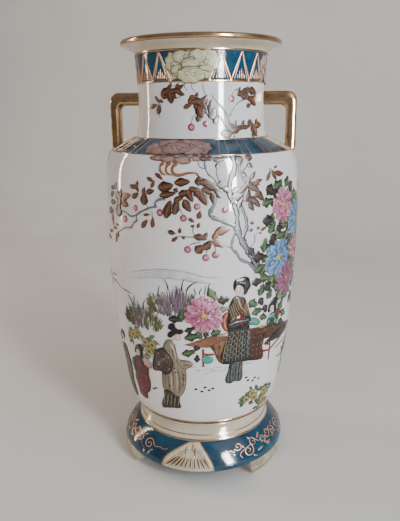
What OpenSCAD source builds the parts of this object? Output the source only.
// Tall porcelain vase: barrel body, upright neck, two squared handles,
// flared foot ring on a cushion-shaped plinth with three bracket feet.
// Origin: centre of the footprint. +Z up, handles along X, front is -Y.

/* [Overall] */
// Height from the table to the top of the lip
total_h = 304; // [302:1:310]
// Thickness of the clay wall
wall = 4; // [3:0.5:5]

/* [Plinth] */
// Height of the gap under the plinth between the feet
plinth_lift = 8; // [6:0.5:9]
// Height at which the plinth is widest
plinth_mid = 13.5; // [12:0.5:15]
// Height of the top edge of the plinth
plinth_top = 29; // [27:0.5:31]
// Radius of the top edge of the plinth
plinth_top_r = 50.6; // [50:0.2:52]
// Radius of the plinth at its widest
plinth_r = 62; // [60:0.5:64]
// Radius of the lower edge of the plinth
plinth_base_r = 53.5; // [52:0.5:55]

/* [Feet] */
// Width of a bracket foot where it leaves the plinth
foot_top_w = 37; // [34:0.5:40]
// Width of a bracket foot where it stands on the table
foot_base_w = 21; // [18:0.5:24]
// Distance by which a foot stands proud of the plinth
foot_proud = 0.5; // [0.3:0.1:1]

/* [Foot ring] */
// Height of the top of the foot ring
ring_top = 41; // [40:0.5:42]
// Radius of the foot ring at its waist
ring_waist_r = 46.6; // [46:0.2:47]
// Radius of the half-round gilt bead on top of the foot ring
bead = 1.2; // [0.8:0.1:1.6]

/* [Body] */
// Radius of the body where it meets the foot ring
body_base_r = 47.4; // [47:0.2:48]
// Height of the hip, where the round bottom turns into the long wall
hip_z = 84; // [80:1:88]
// Radius of the body at the hip
hip_r = 61.4; // [60.5:0.1:62]
// Largest radius of the body
body_r = 68.3; // [67.5:0.1:70]
// Height at which the body reaches its largest radius
belly_z = 184; // [178:1:190]
// Height of the edge between body and shoulder
shoulder_z = 233; // [231:0.5:234]
// Radius of the edge between body and shoulder
shoulder_r = 63.6; // [62.8:0.2:64.4]
// Thickness of the floor disc
floor_t = 5; // [4:0.5:7]

/* [Neck and rim] */
// Height of the foot of the neck
neck_z = 242; // [240:0.5:244]
// Radius of the neck at its foot
neck_base_r = 45.4; // [44.5:0.1:46]
// Radius of the neck at its narrowest
neck_r = 43.4; // [42.5:0.1:44]
// Radius of the neck just under the rim
neck_top_r = 45; // [44:0.1:46]
// Height of the underside of the rim, where it leaves the neck
rim_z = 296; // [295:0.5:297]
// Largest radius of the lip
rim_r = 54.3; // [53:0.1:56]
// Radius of the rounding of the lip
lip = 2; // [1.5:0.1:2.4]

/* [Handles] */
// Depth of a handle from front to back
bar_depth = 10.4; // [9:0.2:12]
// Thickness of the level arm
arm_t = 9.2; // [8:0.2:10]
// Thickness of the upright arm
upright_t = 7.4; // [6.4:0.2:8]
// Height of the middle of the level arm
arm_z = 266.8; // [264:0.2:269]
// Distance from the axis to the middle of the upright arm
upright_x = 61.9; // [61:0.1:62.3]
// Radius of the outer turn of the handle
turn_out = 6.5; // [5:0.5:7]
// Radius of the inner turn of the handle
turn_in = 3.8; // [2:0.2:5]

/* [Hidden] */
$fn = 128;
porcelain = "#f1efeb";
teal = "#1d6f8f";
cream = "#e4dcc4";
gilt = "#a5814f";
foot_at = [-60, 60, 180];        // angle of each bracket foot from the front, degrees
curve_steps = 18;                // straight runs that make one long curved outline
bar_sides = 24;                  // sides of a handle's section
turn_steps = 9;                  // sections round the turn of a handle
squareness = 0.66;               // 1 is a round section, nearer 0 is more square
shell_r = plinth_top_r - 9.6;    // inner radius of the hollow under the vase

// Points of a cubic curve from a to d, with b and c pulling it
function curve(a, b, c, d, n = curve_steps) =
  [for (i = [0:n]) let (t = i / n, u = 1 - t)
    a * u * u * u + 3 * b * u * u * t + 3 * c * u * t * t + d * t * t * t];

// Points of an arc of radius r about c, from angle a0 to a1
function arc(c, r, a0, a1, n = 8) =
  [for (i = [0:n]) let (a = a0 + (a1 - a0) * i / n) c + r * [cos(a), sin(a)]];

function shifted(points, d) = [for (p = points) p + d];
function reversed(v) = [for (i = [len(v) - 1:-1:0]) v[i]];

// Outlines are lists of [radius, height], from low to high. The inside of the body
// is its outside moved in by the wall, with the round bottom lifted by the floor.
function body_outline(inset = 0, lift = 0) =
  shifted(concat(
    curve([body_base_r, ring_top + lift], [body_base_r + 10, ring_top + 0.8 + lift],
          [hip_r - 0.8, hip_z - 3], [hip_r, hip_z]),
    curve([hip_r, hip_z], [hip_r + 3.1, hip_z + 12],
          [body_r, belly_z - 44], [body_r, belly_z]),
    curve([body_r, belly_z + 16], [body_r, belly_z + 33],
          [body_r - 1.2, shoulder_z - 7.5], [shoulder_r, shoulder_z], 12)), [-inset, 0]);

function neck_outline() = concat(
  curve([neck_base_r, neck_z], [neck_base_r - 1.4, neck_z + 5],
        [neck_r, neck_z + 12], [neck_r, neck_z + 24], 8),
  curve([neck_r, rim_z - 20], [neck_r, rim_z - 11],
        [neck_r + 0.6, rim_z - 5], [neck_top_r, rim_z], 8));

function plinth_outline() = concat(
  curve([plinth_base_r, plinth_lift], [plinth_r - 3.5, plinth_lift + 1],
        [plinth_r, plinth_mid - 3], [plinth_r, plinth_mid], 10),
  curve([plinth_r, plinth_mid], [plinth_r, plinth_mid + 4.5],
        [plinth_top_r + 4, plinth_top - 2.8], [plinth_top_r, plinth_top], 12));

module revolved(points) {
  rotate_extrude() polygon(points);
}

module plinth() {
  color(teal)
    revolved(concat(plinth_outline(), [[shell_r, plinth_top], [shell_r, plinth_top - 3]],
      curve([shell_r, plinth_top - 3], [plinth_r - 14, plinth_top - 6],
            [plinth_r - 11, plinth_mid + 2], [plinth_base_r - 4.5, plinth_lift], 8)));
}

// Front view of a bracket foot, with a double-curved flank on each side
module bracket_face() {
  half_top = foot_top_w / 2;
  half_base = foot_base_w / 2;
  flank = concat([[half_top, plinth_top], [half_top, plinth_lift + 0.6]],
    curve([half_top, plinth_lift + 0.6], [half_top - 0.6, plinth_lift - 2.6],
          [half_base + 3.5, 0.6], [half_base, 0], 8));
  polygon(concat(flank, [for (p = reversed(flank)) [-p.x, p.y]]));
}

// One bracket foot: a slice of a ring that hugs the underside of the plinth
module bracket_foot(angle) {
  face_r = plinth_r + foot_proud;
  ring = concat([[plinth_base_r - 4, 0], [plinth_r - 3.8, 0]],
    curve([plinth_r - 3.8, 0], [plinth_r - 1.2, 0.4],
          [face_r, plinth_lift - 4], [face_r, plinth_mid - 0.5], 8),
    [[plinth_base_r - 4, plinth_mid - 0.5]]);
  rotate([0, 0, angle]) color(cream)
    difference() {
      intersection() {
        revolved(ring);
        translate([0, -plinth_base_r / 2, 0]) rotate([90, 0, 0])
          linear_extrude(plinth_r) bracket_face();
      }
      revolved(concat([[0, plinth_lift]], plinth_outline(), [[0, plinth_top]]));
    }
}

module foot_left() { bracket_foot(foot_at[0]); }
module foot_right() { bracket_foot(foot_at[1]); }
module foot_back() { bracket_foot(foot_at[2]); }

module foot_ring() {
  color(cream)
    revolved(concat(
      curve([plinth_top_r, plinth_top], [plinth_top_r - 0.5, plinth_top + 3.5],
            [ring_waist_r, plinth_top + 5], [ring_waist_r, ring_top - 2 * bead], 8),
      arc([body_base_r - bead * 0.4, ring_top - bead], bead, -90, 90),
      [[shell_r - 1, ring_top], [shell_r - 1, plinth_top]]));
}

module floor_disc() {
  color(porcelain) translate([0, 0, ring_top])
    cylinder(h = floor_t, r = body_base_r - wall);
}

module body() {
  inside = body_outline(wall, floor_t);
  color(porcelain)
    revolved(concat(body_outline(), reversed(inside), [[body_base_r - wall, ring_top]]));
}

module shoulder() {
  color(teal)
    revolved([[shoulder_r, shoulder_z], [neck_base_r, neck_z],
              [neck_base_r - wall, neck_z], [neck_base_r - wall, neck_z - wall],
              [shoulder_r - wall, shoulder_z]]);
}

module neck() {
  outline = neck_outline();
  color(porcelain)
    revolved(concat(outline, reversed(shifted(outline, [-wall, 0]))));
}

module rim() {
  lip_z = total_h - lip;
  color(cream)
    revolved(concat(
      curve([neck_top_r, rim_z], [neck_top_r + 2, rim_z + 2.2],
            [rim_r - 5, rim_z + 2.4], [rim_r - 1.4, lip_z - 2], 8),
      arc([rim_r - lip, lip_z], lip, -45, 90),
      curve([rim_r - lip - 1.2, total_h], [rim_r - 7, total_h - 0.4],
            [neck_top_r - 1.6, total_h - 3.4], [neck_top_r - wall, rim_z], 10)));
}

// Inner and outer edge of a handle, station by station, from the neck to the shoulder
function handle_stations() =
  let (inner_x = upright_x - upright_t / 2,
       outer_x = upright_x + upright_t / 2,
       inner_z = arm_z - arm_t / 2,
       outer_z = arm_z + arm_t / 2,
       ci = [inner_x - turn_in, inner_z - turn_in],
       co = [outer_x - turn_out, outer_z - turn_out])
  concat(
    [for (x = [neck_r - 2, neck_r + 6, ci.x - 1]) [[x, inner_z], [x, outer_z]]],
    [for (i = [0:turn_steps]) let (a = 90 - 90 * i / turn_steps)
      [ci + turn_in * [cos(a), sin(a)], co + turn_out * [cos(a), sin(a)]]],
    [for (z = [ci.y - 3, neck_z + 4, shoulder_z + 3]) [[inner_x, z], [outer_x, z]]],
    [[[inner_x, shoulder_z + 0.6], [outer_x - 0.3, shoulder_z + 0.6]],
     [[inner_x, shoulder_z - 1.2], [outer_x - 1.4, shoulder_z - 1.2]]]);

function soft_sign(v) = sign(v) * pow(abs(v), squareness);

// One softly squared section across the bar between its inner and outer edge
function bar_section(edge) =
  let (mid = (edge[0] + edge[1]) / 2, reach = (edge[1] - edge[0]) / 2)
  [for (k = [0:bar_sides - 1])
    let (a = 360 * k / bar_sides, p = mid + reach * soft_sign(cos(a)))
    [p.x, bar_depth / 2 * soft_sign(sin(a)), p.y]];

module handle_bar() {
  stations = handle_stations();
  n = len(stations);
  rings = [for (s = stations) each bar_section(s)];
  sides = [for (i = [0:n - 2], k = [0:bar_sides - 1])
    let (a = i * bar_sides + k, b = i * bar_sides + (k + 1) % bar_sides)
    [a, b, b + bar_sides, a + bar_sides]];
  ends = [[for (k = [bar_sides - 1:-1:0]) k],
          [for (k = [0:bar_sides - 1]) (n - 1) * bar_sides + k]];
  polyhedron(rings, concat(sides, ends));
}

// The outside of the vase from the belly to the rim, which trims the handles to fit
module upper_outside() {
  revolved(concat([[0, hip_z]], body_outline(), neck_outline(), [[0, rim_z]]));
}

module handle(side) {
  color(gilt)
    difference() {
      rotate([0, 0, side > 0 ? 0 : 180]) handle_bar();
      upper_outside();
    }
}

module handle_left() { handle(-1); }
module handle_right() { handle(1); }

plinth();
foot_left();
foot_right();
foot_back();
foot_ring();
floor_disc();  // floor
body();
shoulder();
neck();
rim();
handle_left();
handle_right();
